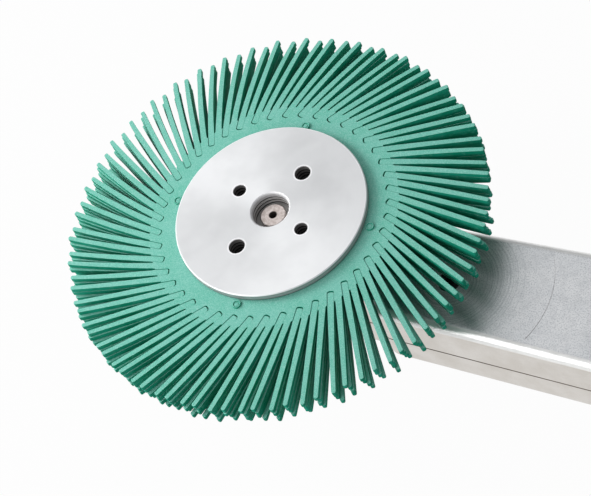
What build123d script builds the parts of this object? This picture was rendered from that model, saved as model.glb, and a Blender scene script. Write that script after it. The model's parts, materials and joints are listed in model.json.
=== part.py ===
"""Rotary bristle brush on a belt-driven spindle arm.

A stack of eight moulded bristle discs is clamped between two flanges on a spindle.  The spindle
runs in two ball bearings at the front of a flat two-piece aluminium arm.  A flat belt inside the
arm drives it from a hollow shaft, which takes the shaft of the machine that carries the arm.
An idler on its own bearing keeps the belt tight.

Frame, in millimetres: +Z along the spindle, out of the front of the brush; +X along the arm, away
from the brush; origin on the spindle axis, in the flat underside of the arm.
"""
from build123d import *
import os
from math import acos, degrees, pi, sqrt

os.makedirs("parts", exist_ok=True)

# ------------------------------------------------------------------ driving dimensions
# Bristle discs
disc_count = 8
disc_thickness = 1.35           # of the web
disc_bore_clearance = 0.1       # disc on the flange hubs
brush_radius = 99.3
finger_count = 45
finger_offset = 27.0            # distance from the spindle axis to every finger's centre line
finger_root_width = 2.9
finger_tip_width = 1.95
finger_stack_gap = 0.2          # between the fingers that lie one above the other
finger_root_round = 0.9
web_radius = 58.6               # where the gaps beside the fingers begin
slot_bottom_radius = 53.0
slot_side_gap = 0.15            # finger to slot, each side
slot_end_gap = 0.6              # finger to slot, at the root
slot_corner_radius = 1.1
pip_radius = 2.1
pip_height = 0.5
pip_circle_radius = 47.9
pip_count = 4
pip_angle = 4.3
pip_clearance = 0.1

# Clamping flanges
flange_radius = 45.0
flange_thickness = 3.6
flange_chamfer = 0.5
hub_radius = 28.0
rear_hub_length = 4.0
hub_gap = 0.4                   # between the two hubs, so that the flanges clamp the discs
rim_groove_depth = 0.25
rim_groove_count = 2
counterbore_radius = 8.7
counterbore_lead_in = 0.8
counterbore_depth = 8.0
thread_groove_count = 3
thread_groove_depth = 0.45
thread_groove_pitch = 1.5
large_pin_hole_radius = 3.8
large_pin_circle_radius = 22.75
large_pin_angle = 71.4
small_pin_hole_radius = 3.15
small_pin_circle_radius = 19.6
small_pin_angle = 161.4

# Spindle
spindle_nose_radius = 6.0
spindle_nose_recess = 4.6       # spindle end below the flange face
spindle_nose_chamfer = 0.4
spindle_centre_radius = 1.85
spindle_centre_depth = 3.7
spindle_collar_radius = 10.0
spindle_pulley_radius = 7.0
brush_standoff = 10.0           # arm to rear flange

# Arm
arm_height = 40.0
arm_split_height = 18.0
arm_wall = 2.6
arm_floor = 4.0
arm_edge_radius = 4.7
arm_half_width = 24.3           # of the body's straight sides, measured at the spindle
arm_side_slope = 0.0234
body_front = 49.5
body_back = 215.0
body_corner_radius = 8.0
neck_nose_radius = 19.5
neck_root_radius = 20.1
neck_edge_chamfer = 1.0
split_chamfer = 0.4
scribe_radius = 47.2
scribe_width = 0.35
scribe_depth = 0.2

# Belt drive
belt_width = 10.0
belt_thickness = 1.5
belt_gap = 0.3                  # belt to pulley, all round
pulley_face = 11.2
pulley_hub_wall = 2.0
pulley_chamfer = 0.5
key_setback = 1.0               # key end inside the pulley's face
driven_pulley_radius = 13.0
idler_pulley_radius = 14.5
drive_pulley_radius = 16.0
idler_lip = 1.5                 # reach of the lip under the idler bearing
idler_x = 82.0
idler_y = -2.0
drive_x = 175.0
key_width = 4.0
key_sink = 1.6                  # depth of a key in its shaft
key_stand = 1.3                 # height of a key above its shaft

# Ball bearings: bore radius, outside radius, width
spindle_lower_bearing = (6.0, 14.0, 8.0)
spindle_upper_bearing = (7.5, 16.0, 9.0)
idler_bearing = (5.0, 11.0, 6.0)
drive_bearing = (10.0, 16.0, 7.0)
ball_clearance = 0.05
boss_wall = 3.0
bearing_ledge = 2.0             # how far a ledge reaches under an outer ring
ledge_height = 1.0

# Retaining rings and seal
ring_thickness = 1.0
ring_sink = 0.8
ring_stand = 1.6
ring_play = 0.4                 # room above and below a retaining ring
ring_opening = 6.0              # gap between a ring's ends
seal_thickness = 3.0
seal_gap = 0.05

# Drive shaft
motor_shaft_radius = 7.0
motor_bore_depth = 27.5
motor_key_width = 5.0
motor_key_depth = 2.3
drive_flange_radius = 11.75
drive_flange_thickness = 1.5
motor_opening_radius = 13.0
motor_bolt_circle_radius = 25.0
motor_bolt_hole_radius = 2.75
motor_bolt_count = 4

# Screws
shell_screw_radius = 2.0
shell_screw_clearance = 0.2
shell_screw_head_radius = 3.5
shell_screw_head_height = 4.0
shell_screw_length = 22.0
shell_boss_radius = 5.5
shell_screw_row = (30.0, 54.0, 112.0, 142.0)    # along the arm's middle
shell_screw_inset = 10.0        # back screws, from the end of the arm
shell_screw_spread = 19.5       # back screws, from the arm's middle
screw_head_gap = 0.2
idler_screw_radius = 3.0
idler_screw_head_radius = 5.0
idler_screw_head_height = 6.0
idler_screw_length = 16.0
screw_head_chamfer = 0.6
socket_share = 0.5              # of a screw head's radius and height
idler_shoulder_radius = 6.5
idler_boss_radius = 9.0
idler_roof_drop = 10.0          # idler screw boss, from the arm's top face down

# ------------------------------------------------------------------ heights worked out from them
arm_top = arm_height
arm_roof = arm_height - arm_floor
stack_bottom = arm_height + brush_standoff + flange_thickness
stack_top = stack_bottom + disc_count * disc_thickness
flange_top = stack_top + flange_thickness
spindle_top = flange_top - spindle_nose_recess
collar_top = arm_height + brush_standoff

lower_bearing_bottom = arm_floor + ring_thickness + 1.5 * ring_play
lower_bearing_top = lower_bearing_bottom + spindle_lower_bearing[2]
upper_bearing_top = arm_height - seal_thickness - ring_thickness - 2 * ring_play
upper_bearing_bottom = upper_bearing_top - spindle_upper_bearing[2]
belt_height = (lower_bearing_top + upper_bearing_bottom) / 2
belt_bottom = belt_height - belt_width / 2
pulley_bottom = belt_height - pulley_face / 2
pulley_top = belt_height + pulley_face / 2

drive_lower_bottom = arm_floor
drive_lower_top = drive_lower_bottom + drive_bearing[2]
drive_upper_top = arm_roof - ring_thickness
drive_upper_bottom = drive_upper_top - drive_bearing[2]
drive_shaft_bottom = drive_lower_bottom - drive_flange_thickness
idler_bearing_bottom = belt_height - idler_bearing[2] / 2
idler_bearing_top = belt_height + idler_bearing[2] / 2
idler_axle_top = arm_height - idler_roof_drop

back_screw_x = body_back - shell_screw_inset
shell_screw_places = [(x, 0.0) for x in shell_screw_row]
shell_screw_places += [(back_screw_x, shell_screw_spread), (back_screw_x, -shell_screw_spread)]
pulleys = [
    (0.0, 0.0, driven_pulley_radius),
    (idler_x, idler_y, idler_pulley_radius),
    (drive_x, 0.0, drive_pulley_radius),
]


def save(piece, name):
    """Label a finished piece and write its STEP file."""
    piece.part.label = name
    export_step(piece.part, "parts/" + name + ".step")


# ------------------------------------------------------------------ bristle discs
def along_finger(radius):
    """Distance along a finger's centre line, from its foot nearest the axis, to a radius."""
    return sqrt(radius**2 - finger_offset**2)


pitch = 360.0 / finger_count
root_turn = degrees(acos(finger_offset / slot_bottom_radius)) - 90.0
disc_bore_radius = hub_radius + disc_bore_clearance
slot_width = finger_root_width + 2 * slot_side_gap
slot_foot = along_finger(slot_bottom_radius)
slot_mouth = along_finger(web_radius) + slot_width
finger_foot = slot_foot + slot_end_gap
finger_root = along_finger(web_radius) - slot_width / 2
finger_tip = along_finger(brush_radius)
finger_thickness = 2 * disc_thickness - finger_stack_gap

with BuildSketch() as finger_outline:
    Polygon(
        (finger_foot, finger_offset - finger_root_width / 2),
        (finger_root, finger_offset - finger_root_width / 2),
        (finger_tip, finger_offset - finger_tip_width / 2),
        (finger_tip, finger_offset + finger_tip_width / 2),
        (finger_root, finger_offset + finger_root_width / 2),
        (finger_foot, finger_offset + finger_root_width / 2),
        align=None,
    )
    fillet(finger_outline.vertices().group_by(Axis.X)[0], finger_root_round)


def disc_blank(finger_bottom, half_turn):
    """A disc whose web stands on the ground plane and whose thicker fingers start at finger_bottom.

    The half of each finger that stands out of the web lies in a slot of the next disc.
    """
    slot_length = slot_mouth - slot_foot
    with BuildPart() as blank:
        with BuildSketch():
            Circle(web_radius)
            with PolarLocations(0, finger_count, start_angle=root_turn + half_turn + pitch / 2):
                with Locations(((slot_foot + slot_mouth) / 2, finger_offset)):
                    RectangleRounded(slot_length, slot_width, slot_corner_radius, mode=Mode.SUBTRACT)
            Circle(disc_bore_radius, mode=Mode.SUBTRACT)
        extrude(amount=disc_thickness)
        with BuildSketch(Plane.XY.offset(finger_bottom)):
            with PolarLocations(0, finger_count, start_angle=root_turn + half_turn):
                add(finger_outline.sketch)
        extrude(amount=finger_thickness)
        with BuildSketch(Plane.XY.offset(disc_thickness)):
            with PolarLocations(pip_circle_radius, pip_count, start_angle=pip_angle):
                Circle(pip_radius)
        extrude(amount=pip_height)
        with BuildSketch():
            with PolarLocations(pip_circle_radius, pip_count, start_angle=pip_angle):
                Circle(pip_radius + pip_clearance)
        extrude(amount=pip_height + pip_clearance, mode=Mode.SUBTRACT)
    return blank


# The fingers of the first disc reach down, those of the second reach up between them, and so on.
disc_blanks = [
    disc_blank(disc_thickness - finger_thickness, 0),
    disc_blank(0, pitch / 2),
]

for index in range(disc_count):
    disc_bottom = stack_top - (index + 1) * disc_thickness
    with BuildPart() as bristle_disc:
        add(disc_blanks[index % 2].part.moved(Location((0, 0, disc_bottom))))
    save(bristle_disc, "bristle_disc_" + str(index + 1))


# ------------------------------------------------------------------ clamping flanges
def clamping_flange(face, outward, hub_length):
    """Plate and hub of one flange; outward is +1 towards the front of the brush, -1 behind it."""
    with BuildPart() as plate:
        with BuildSketch(Plane.XY.offset(face)):
            Circle(flange_radius)
        extrude(amount=outward * flange_thickness)
        chamfer(plate.edges().group_by(Axis.Z)[0 if outward < 0 else -1], flange_chamfer)
        for groove in range(rim_groove_count):
            height = face + outward * flange_thickness * (groove + 1) / (rim_groove_count + 1)
            with BuildSketch(Plane.XY.offset(height - rim_groove_depth / 2)):
                Circle(flange_radius)
                Circle(flange_radius - rim_groove_depth, mode=Mode.SUBTRACT)
            extrude(amount=rim_groove_depth, mode=Mode.SUBTRACT)
        with BuildSketch(Plane.XY.offset(face)):
            Circle(hub_radius)
        extrude(amount=-outward * hub_length)
    return plate


stack_height = stack_top - stack_bottom
front_hub_length = stack_height - rear_hub_length - hub_gap
pin_hole_depth = flange_thickness + front_hub_length

front_plate = clamping_flange(stack_top, 1, front_hub_length)
with BuildPart() as front_flange:
    add(front_plate.part)
    with Locations((0, 0, flange_top)):
        CounterBoreHole(spindle_nose_radius, counterbore_radius, counterbore_depth)
        with PolarLocations(large_pin_circle_radius, 2, start_angle=large_pin_angle):
            Hole(large_pin_hole_radius, pin_hole_depth)
        with PolarLocations(small_pin_circle_radius, 2, start_angle=small_pin_angle):
            Hole(small_pin_hole_radius, pin_hole_depth)
    with BuildSketch(Plane.XY.offset(flange_top)):
        Circle(counterbore_radius + counterbore_lead_in)
    extrude(amount=-counterbore_lead_in, taper=45, mode=Mode.SUBTRACT)
    for groove in range(thread_groove_count):
        groove_height = flange_top - counterbore_depth + (groove + 1) * thread_groove_pitch
        with BuildSketch(Plane.XY.offset(groove_height)):
            Circle(counterbore_radius + thread_groove_depth)
            Circle(counterbore_radius, mode=Mode.SUBTRACT)
        extrude(amount=thread_groove_depth, mode=Mode.SUBTRACT)
save(front_flange, "front_flange")

rear_plate = clamping_flange(stack_bottom, -1, rear_hub_length)
with BuildPart() as rear_flange:
    add(rear_plate.part)
    with Locations((0, 0, stack_bottom + rear_hub_length)):
        Hole(spindle_nose_radius)
save(rear_flange, "rear_flange")


# ------------------------------------------------------------------ retaining rings and bearings
def retaining_ring(name, inner_radius, outer_radius, bottom, x=0.0):
    """An open spring ring lying flat, for a groove in a shaft or in a bore."""
    with BuildPart() as ring:
        with BuildSketch(Plane((x, 0, bottom))):
            Circle(outer_radius)
            Circle(inner_radius, mode=Mode.SUBTRACT)
            with Locations((outer_radius, 0)):
                Rectangle(2 * (outer_radius - inner_radius / 2), ring_opening, mode=Mode.SUBTRACT)
        extrude(amount=ring_thickness)
    save(ring, name)


def ball_bearing(name, size, bottom, x=0.0, y=0.0):
    """A deep-groove bearing as its outer ring, its inner ring and its balls."""
    bore_radius, outside_radius, width = size
    pitch_radius = (bore_radius + outside_radius) / 2
    ball_radius = (outside_radius - bore_radius) * 0.3
    land = ball_radius * 0.55
    groove_radius = ball_radius + ball_clearance
    middle = (x, y, bottom + width / 2)
    ball_count = int(pi * pitch_radius / ball_radius / 1.25)
    with BuildPart() as outer_ring:
        with BuildSketch(Plane((x, y, bottom))):
            Circle(outside_radius)
            Circle(pitch_radius + land, mode=Mode.SUBTRACT)
        extrude(amount=width)
        with Locations(middle):
            Torus(pitch_radius, groove_radius, mode=Mode.SUBTRACT)
    save(outer_ring, name + "_outer_ring")
    with BuildPart() as inner_ring:
        with BuildSketch(Plane((x, y, bottom))):
            Circle(pitch_radius - land)
            Circle(bore_radius, mode=Mode.SUBTRACT)
        extrude(amount=width)
        with Locations(middle):
            Torus(pitch_radius, groove_radius, mode=Mode.SUBTRACT)
    save(inner_ring, name + "_inner_ring")
    with BuildPart() as balls:
        with Locations(middle):
            with PolarLocations(pitch_radius, ball_count):
                Sphere(ball_radius)
    save(balls, name + "_balls")


ball_bearing("spindle_lower_bearing", spindle_lower_bearing, lower_bearing_bottom)
ball_bearing("spindle_upper_bearing", spindle_upper_bearing, upper_bearing_bottom)
ball_bearing("idler_bearing", idler_bearing, idler_bearing_bottom, idler_x, idler_y)
ball_bearing("drive_lower_bearing", drive_bearing, drive_lower_bottom, drive_x)
ball_bearing("drive_upper_bearing", drive_bearing, drive_upper_bottom, drive_x)

spindle_ring_bottom = lower_bearing_bottom - ring_thickness
drive_ring_bottom = drive_upper_top
bore_ring_bottom = upper_bearing_top
retaining_ring(
    "spindle_retaining_ring",
    spindle_lower_bearing[0] - ring_sink,
    spindle_lower_bearing[0] + ring_stand,
    spindle_ring_bottom,
)
retaining_ring(
    "drive_retaining_ring",
    drive_bearing[0] - ring_sink,
    drive_bearing[0] + ring_stand,
    drive_ring_bottom,
    drive_x,
)
retaining_ring(
    "bore_retaining_ring",
    spindle_upper_bearing[1] - ring_stand,
    spindle_upper_bearing[1] + ring_sink,
    bore_ring_bottom,
)

with BuildPart() as shaft_seal:
    with BuildSketch(Plane.XY.offset(arm_height - seal_thickness)):
        Circle(spindle_upper_bearing[1])
        Circle(spindle_collar_radius + seal_gap, mode=Mode.SUBTRACT)
    extrude(amount=seal_thickness)
save(shaft_seal, "shaft_seal")

# ------------------------------------------------------------------ spindle and its pulley
spindle_bottom = spindle_ring_bottom - ring_play
key_bottom = pulley_bottom + key_setback
key_length = pulley_face - 2 * key_setback

with BuildPart() as spindle:
    for radius, low, high in (
        (spindle_lower_bearing[0], spindle_bottom, lower_bearing_top),
        (spindle_pulley_radius, lower_bearing_top, upper_bearing_bottom),
        (spindle_upper_bearing[0], upper_bearing_bottom, upper_bearing_top),
        (spindle_collar_radius, upper_bearing_top, collar_top),
        (spindle_nose_radius, collar_top, spindle_top),
    ):
        with BuildSketch(Plane.XY.offset(low)):
            Circle(radius)
        extrude(amount=high - low)
    chamfer(spindle.edges().group_by(Axis.Z)[-1], spindle_nose_chamfer)
    with Locations((0, 0, spindle_top)):
        Hole(spindle_centre_radius, spindle_centre_depth)
    with BuildSketch(Plane.XY.offset(spindle_ring_bottom)):
        Circle(spindle_lower_bearing[0])
        Circle(spindle_lower_bearing[0] - ring_sink, mode=Mode.SUBTRACT)
    extrude(amount=ring_thickness, mode=Mode.SUBTRACT)
    with BuildSketch(Plane.XY.offset(key_bottom)):
        with Locations((0, spindle_pulley_radius)):
            Rectangle(key_width, 2 * key_sink)
    extrude(amount=key_length, mode=Mode.SUBTRACT)
save(spindle, "spindle")


def shaft_key(name, shaft_radius, x=0.0):
    """A flat key that locks a pulley to its shaft."""
    with BuildPart() as key:
        with BuildSketch(Plane((x, 0, key_bottom))):
            with Locations((0, shaft_radius + (key_stand - key_sink) / 2)):
                Rectangle(key_width, key_sink + key_stand)
        extrude(amount=key_length)
    save(key, name)


def keyed_pulley(name, rim_radius, shaft_radius, hub_bottom, hub_top, x=0.0):
    """A flat belt pulley with a hub that fills the space between its two bearings."""
    with BuildPart() as pulley:
        with BuildSketch(Plane((x, 0, pulley_bottom))):
            Circle(rim_radius)
        extrude(amount=pulley_face)
        chamfer(pulley.edges().filter_by(GeomType.CIRCLE), pulley_chamfer)
        with BuildSketch(Plane((x, 0, hub_bottom))):
            Circle(shaft_radius + pulley_hub_wall)
        extrude(amount=hub_top - hub_bottom)
        with BuildSketch(Plane((x, 0, hub_bottom))):
            Circle(shaft_radius)
        extrude(amount=hub_top - hub_bottom, mode=Mode.SUBTRACT)
        with BuildSketch(Plane((x, 0, key_bottom))):
            with Locations((0, shaft_radius)):
                Rectangle(key_width, 2 * key_stand)
        extrude(amount=key_length, mode=Mode.SUBTRACT)
    save(pulley, name)


shaft_key("spindle_key", spindle_pulley_radius)
keyed_pulley(
    "driven_pulley",
    driven_pulley_radius,
    spindle_pulley_radius,
    lower_bearing_top,
    upper_bearing_bottom,
)

# ------------------------------------------------------------------ drive shaft and its pulley
with BuildPart() as drive_shaft:
    with BuildSketch(Plane((drive_x, 0, drive_shaft_bottom))):
        Circle(drive_flange_radius)
    extrude(amount=drive_flange_thickness)
    with BuildSketch(Plane((drive_x, 0, drive_lower_bottom))):
        Circle(drive_bearing[0])
    extrude(amount=drive_ring_bottom + 2 * ring_thickness - drive_lower_bottom)
    with BuildSketch(Plane((drive_x, 0, drive_ring_bottom))):
        Circle(drive_bearing[0])
        Circle(drive_bearing[0] - ring_sink, mode=Mode.SUBTRACT)
    extrude(amount=ring_thickness, mode=Mode.SUBTRACT)
    with BuildSketch(Plane((drive_x, 0, drive_shaft_bottom))):
        Circle(motor_shaft_radius)
        with Locations((0, -motor_shaft_radius)):
            Rectangle(motor_key_width, 2 * motor_key_depth)
    extrude(amount=motor_bore_depth, mode=Mode.SUBTRACT)
    with BuildSketch(Plane((drive_x, 0, key_bottom))):
        with Locations((0, drive_bearing[0])):
            Rectangle(key_width, 2 * key_sink)
    extrude(amount=key_length, mode=Mode.SUBTRACT)
save(drive_shaft, "drive_shaft")

shaft_key("drive_key", drive_bearing[0], drive_x)
keyed_pulley(
    "drive_pulley",
    drive_pulley_radius,
    drive_bearing[0],
    drive_lower_top,
    drive_upper_bottom,
    drive_x,
)

# ------------------------------------------------------------------ idler
with BuildPart() as idler_pulley:
    with BuildSketch(Plane((idler_x, idler_y, pulley_bottom))):
        Circle(idler_pulley_radius)
        Circle(idler_bearing[1] - idler_lip, mode=Mode.SUBTRACT)
    extrude(amount=pulley_face)
    with BuildSketch(Plane((idler_x, idler_y, idler_bearing_bottom))):
        Circle(idler_bearing[1])
    extrude(amount=pulley_top - idler_bearing_bottom, mode=Mode.SUBTRACT)
save(idler_pulley, "idler_pulley")

with BuildPart() as idler_axle:
    with BuildSketch(Plane((idler_x, idler_y, arm_floor))):
        Circle(idler_shoulder_radius)
    extrude(amount=idler_bearing_bottom - arm_floor)
    with BuildSketch(Plane((idler_x, idler_y, idler_bearing_bottom))):
        Circle(idler_bearing[0])
    extrude(amount=idler_axle_top - idler_bearing_bottom)
    with Locations((idler_x, idler_y, idler_axle_top)):
        Hole(idler_screw_radius, idler_screw_length)
save(idler_axle, "idler_axle")

with BuildPart() as idler_spacer:
    with BuildSketch(Plane((idler_x, idler_y, idler_bearing_top))):
        Circle(idler_shoulder_radius)
        Circle(idler_bearing[0], mode=Mode.SUBTRACT)
    extrude(amount=idler_axle_top - idler_bearing_top)
save(idler_spacer, "idler_spacer")

idler_head_bottom = arm_height - screw_head_gap - idler_screw_head_height
with BuildPart() as idler_screw:
    with BuildSketch(Plane((idler_x, idler_y, idler_head_bottom))):
        Circle(idler_screw_head_radius)
    extrude(amount=idler_screw_head_height)
    chamfer(idler_screw.edges().group_by(Axis.Z)[-1], screw_head_chamfer)
    with BuildSketch(Plane((idler_x, idler_y, idler_head_bottom))):
        Circle(idler_screw_radius)
    extrude(amount=-idler_screw_length)
    with BuildSketch(Plane((idler_x, idler_y, arm_height))):
        RegularPolygon(idler_screw_head_radius * socket_share, 6)
    extrude(amount=-idler_screw_head_height * socket_share, mode=Mode.SUBTRACT)
save(idler_screw, "idler_screw")

# ------------------------------------------------------------------ belt
with BuildPart() as drive_belt:
    with BuildSketch(Plane.XY.offset(belt_bottom)):
        for x, y, radius in pulleys:
            with Locations((x, y)):
                Circle(radius + belt_gap + belt_thickness)
        make_hull()
    extrude(amount=belt_width)
    with BuildSketch(Plane.XY.offset(belt_bottom)):
        for x, y, radius in pulleys:
            with Locations((x, y)):
                Circle(radius + belt_gap)
        make_hull()
    extrude(amount=belt_width, mode=Mode.SUBTRACT)
save(drive_belt, "drive_belt")


# ------------------------------------------------------------------ arm shells
def body_half_width(x):
    """Half the width of the arm's straight-sided body at a distance from the spindle."""
    return arm_half_width + arm_side_slope * x


def body_corners(inset):
    """Corners of the body's outline, drawn in by inset."""
    front = body_front + inset
    back = body_back - inset
    return [
        (front, -body_half_width(front) + inset),
        (back, -body_half_width(back) + inset),
        (back, body_half_width(back) - inset),
        (front, body_half_width(front) - inset),
    ]


def arm_block(bottom, top):
    """The solid outside of one shell, between two heights: the body and the neck in front of it."""
    side = -1 if top == arm_height else 0
    with BuildPart() as body:
        with BuildSketch(Plane.XY.offset(bottom)) as outline:
            Polygon(*body_corners(0), align=None)
            fillet(outline.vertices(), body_corner_radius)
        extrude(amount=top - bottom)
        fillet(body.edges().group_by(Axis.Z)[side], arm_edge_radius)
        chamfer(body.edges().group_by(Axis.Z)[-1 - side], split_chamfer)
    with BuildPart() as neck:
        with BuildSketch(Plane.XY.offset(bottom)):
            Circle(neck_nose_radius)
            with Locations((body_front + body_corner_radius, 0)):
                Circle(neck_root_radius)
            make_hull()
        extrude(amount=top - bottom)
        chamfer(neck.edges().group_by(Axis.Z)[side], neck_edge_chamfer)
        chamfer(neck.edges().group_by(Axis.Z)[-1 - side], split_chamfer)
    with BuildPart() as block:
        add(body.part)
        add(neck.part)
    return block


def hollow(bottom, top):
    """The space inside one shell, between two heights."""
    with BuildPart() as space:
        with BuildSketch(Plane.XY.offset(bottom)):
            Polygon(*body_corners(arm_wall), align=None)
        extrude(amount=top - bottom)
        fillet(space.edges().filter_by(Axis.Z), body_corner_radius - arm_wall)
        with BuildSketch(Plane.XY.offset(bottom)):
            Circle(neck_nose_radius - arm_wall)
            with Locations((body_front + body_corner_radius, 0)):
                Circle(neck_root_radius - arm_wall)
            make_hull()
        extrude(amount=top - bottom)
    return space


lower_block = arm_block(0, arm_split_height)
lower_space = hollow(arm_floor, arm_split_height)
lower_boss_radius = spindle_lower_bearing[1] + boss_wall
drive_boss_radius = drive_bearing[1] + boss_wall
with BuildPart() as arm_lower_shell:
    add(lower_block.part)
    add(lower_space.part, mode=Mode.SUBTRACT)
    with BuildSketch(Plane.XY.offset(arm_floor)):
        Circle(lower_boss_radius)
    extrude(amount=lower_bearing_top - arm_floor)
    with BuildSketch(Plane((drive_x, 0, arm_floor))):
        Circle(drive_boss_radius)
    extrude(amount=drive_lower_top - arm_floor)
    with BuildSketch(Plane((idler_x, idler_y, arm_floor))):
        Circle(idler_boss_radius)
    extrude(amount=idler_bearing_bottom - arm_floor - belt_width / 2)
    with BuildSketch(Plane.XY.offset(arm_floor)):
        with Locations(*shell_screw_places):
            Circle(shell_boss_radius)
    extrude(amount=arm_split_height - arm_floor)
    with Locations((0, 0, lower_bearing_top)):
        Hole(spindle_lower_bearing[1] - bearing_ledge, lower_bearing_top - arm_floor)
        Hole(spindle_lower_bearing[1], spindle_lower_bearing[2])
    with Locations((drive_x, 0, drive_lower_top)):
        Hole(drive_bearing[1], drive_bearing[2])
        Hole(motor_opening_radius)
    with Locations((idler_x, idler_y, arm_split_height)):
        Hole(idler_shoulder_radius, arm_split_height - arm_floor)
    with Locations((drive_x, 0, 0)):
        with PolarLocations(motor_bolt_circle_radius, motor_bolt_count, start_angle=45):
            Cylinder(motor_bolt_hole_radius, 3 * arm_floor, mode=Mode.SUBTRACT)
    with Locations(Plane((0, 0, 0), x_dir=(1, 0, 0), z_dir=(0, 0, -1))):
        with Locations(*[(x, -y) for x, y in shell_screw_places]):
            CounterBoreHole(
                shell_screw_radius + shell_screw_clearance,
                shell_screw_head_radius + shell_screw_clearance,
                shell_screw_head_height + screw_head_gap,
                arm_split_height,
            )
save(arm_lower_shell, "arm_lower_shell")

upper_block = arm_block(arm_split_height, arm_height)
upper_space = hollow(arm_split_height, arm_roof)
upper_boss_radius = spindle_upper_bearing[1] + boss_wall
with BuildPart() as arm_upper_shell:
    add(upper_block.part)
    add(upper_space.part, mode=Mode.SUBTRACT)
    with BuildSketch(Plane.XY.offset(upper_bearing_bottom - ledge_height)):
        Circle(upper_boss_radius)
    extrude(amount=arm_roof - upper_bearing_bottom + ledge_height)
    with BuildSketch(Plane((drive_x, 0, drive_upper_bottom))):
        Circle(drive_boss_radius)
    extrude(amount=arm_roof - drive_upper_bottom)
    with BuildSketch(Plane((idler_x, idler_y, idler_axle_top))):
        Circle(idler_boss_radius)
    extrude(amount=arm_roof - idler_axle_top)
    with BuildSketch(Plane.XY.offset(arm_split_height)):
        with Locations(*shell_screw_places):
            Circle(shell_boss_radius)
    extrude(amount=arm_roof - arm_split_height)
    with Locations((0, 0, arm_height)):
        Hole(spindle_upper_bearing[1], arm_height - upper_bearing_bottom)
        Hole(spindle_upper_bearing[1] - bearing_ledge)
    with BuildSketch(Plane.XY.offset(bore_ring_bottom)):
        Circle(spindle_upper_bearing[1] + ring_sink)
    extrude(amount=ring_thickness, mode=Mode.SUBTRACT)
    with BuildSketch(Plane((drive_x, 0, drive_upper_bottom))):
        Circle(drive_bearing[1])
    extrude(amount=drive_bearing[2], mode=Mode.SUBTRACT)
    with BuildSketch(Plane((drive_x, 0, drive_upper_top))):
        Circle(drive_bearing[1] - bearing_ledge)
    extrude(amount=2 * ring_thickness + ring_play, mode=Mode.SUBTRACT)
    with Locations((idler_x, idler_y, arm_height)):
        CounterBoreHole(
            idler_screw_radius + shell_screw_clearance,
            idler_screw_head_radius + shell_screw_clearance,
            idler_screw_head_height + screw_head_gap,
            idler_roof_drop,
        )
    with BuildSketch(Plane.XY.offset(arm_split_height)):
        with Locations(*shell_screw_places):
            Circle(shell_screw_radius)
    screw_tip = screw_head_gap + shell_screw_head_height + shell_screw_length
    extrude(amount=screw_tip + shell_screw_radius - arm_split_height, mode=Mode.SUBTRACT)
    with BuildSketch(Plane.XY.offset(arm_height - scribe_depth)):
        with Locations((idler_x, idler_y)):
            Circle(scribe_radius + scribe_width / 2)
            Circle(scribe_radius - scribe_width / 2, mode=Mode.SUBTRACT)
        with Locations((idler_x + scribe_radius, 0)):
            scribe_reach = 2 * (body_half_width(idler_x) - arm_edge_radius)
            Rectangle(scribe_radius, scribe_reach, mode=Mode.INTERSECT)
    extrude(amount=scribe_depth, mode=Mode.SUBTRACT)
save(arm_upper_shell, "arm_upper_shell")

with BuildPart() as shell_screws:
    with BuildSketch(Plane.XY.offset(screw_head_gap)):
        with Locations(*shell_screw_places):
            Circle(shell_screw_head_radius)
    extrude(amount=shell_screw_head_height)
    with BuildSketch(Plane.XY.offset(screw_head_gap + shell_screw_head_height)):
        with Locations(*shell_screw_places):
            Circle(shell_screw_radius)
    extrude(amount=shell_screw_length)
    with BuildSketch(Plane.XY.offset(screw_head_gap)):
        with Locations(*shell_screw_places):
            RegularPolygon(shell_screw_head_radius * socket_share, 6)
    extrude(amount=shell_screw_head_height * socket_share, mode=Mode.SUBTRACT)
save(shell_screws, "shell_screws")
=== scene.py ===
"""Looks of the rotary bristle brush and its belt-driven arm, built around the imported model.

Everything is in metres in the model's own frame: +Z out of the front of the brush, +X along the
arm, the origin on the spindle axis in the arm's underside.
"""

import json
from math import acos, cos, pi, radians, sin, sqrt, tau

import bmesh
import bpy
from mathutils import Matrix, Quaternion, Vector


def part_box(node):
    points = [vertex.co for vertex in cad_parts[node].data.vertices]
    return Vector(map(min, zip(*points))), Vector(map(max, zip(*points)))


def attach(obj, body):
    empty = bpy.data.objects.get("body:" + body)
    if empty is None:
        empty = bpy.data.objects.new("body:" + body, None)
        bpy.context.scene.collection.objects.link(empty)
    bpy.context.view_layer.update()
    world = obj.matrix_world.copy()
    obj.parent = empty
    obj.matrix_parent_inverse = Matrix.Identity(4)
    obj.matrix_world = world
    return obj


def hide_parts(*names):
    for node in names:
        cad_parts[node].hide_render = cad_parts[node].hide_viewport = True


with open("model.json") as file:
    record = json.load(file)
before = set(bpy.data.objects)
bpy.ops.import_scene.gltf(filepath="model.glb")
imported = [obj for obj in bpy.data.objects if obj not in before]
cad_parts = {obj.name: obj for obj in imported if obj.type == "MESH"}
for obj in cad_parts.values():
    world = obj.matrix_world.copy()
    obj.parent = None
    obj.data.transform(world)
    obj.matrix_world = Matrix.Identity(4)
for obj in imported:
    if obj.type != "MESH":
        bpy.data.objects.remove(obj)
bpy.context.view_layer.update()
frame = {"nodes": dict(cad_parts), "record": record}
MM = 0.001
WELD = 0.002 * MM
WHITE = (1.0, 1.0, 1.0, 1.0)
PIP_HEIGHT = 0.5 * MM
# Edges sharper than these are drawn as edges, and rounded.
EDGE_ANGLE = radians(35)
ROUND_ANGLE = radians(40)

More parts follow.
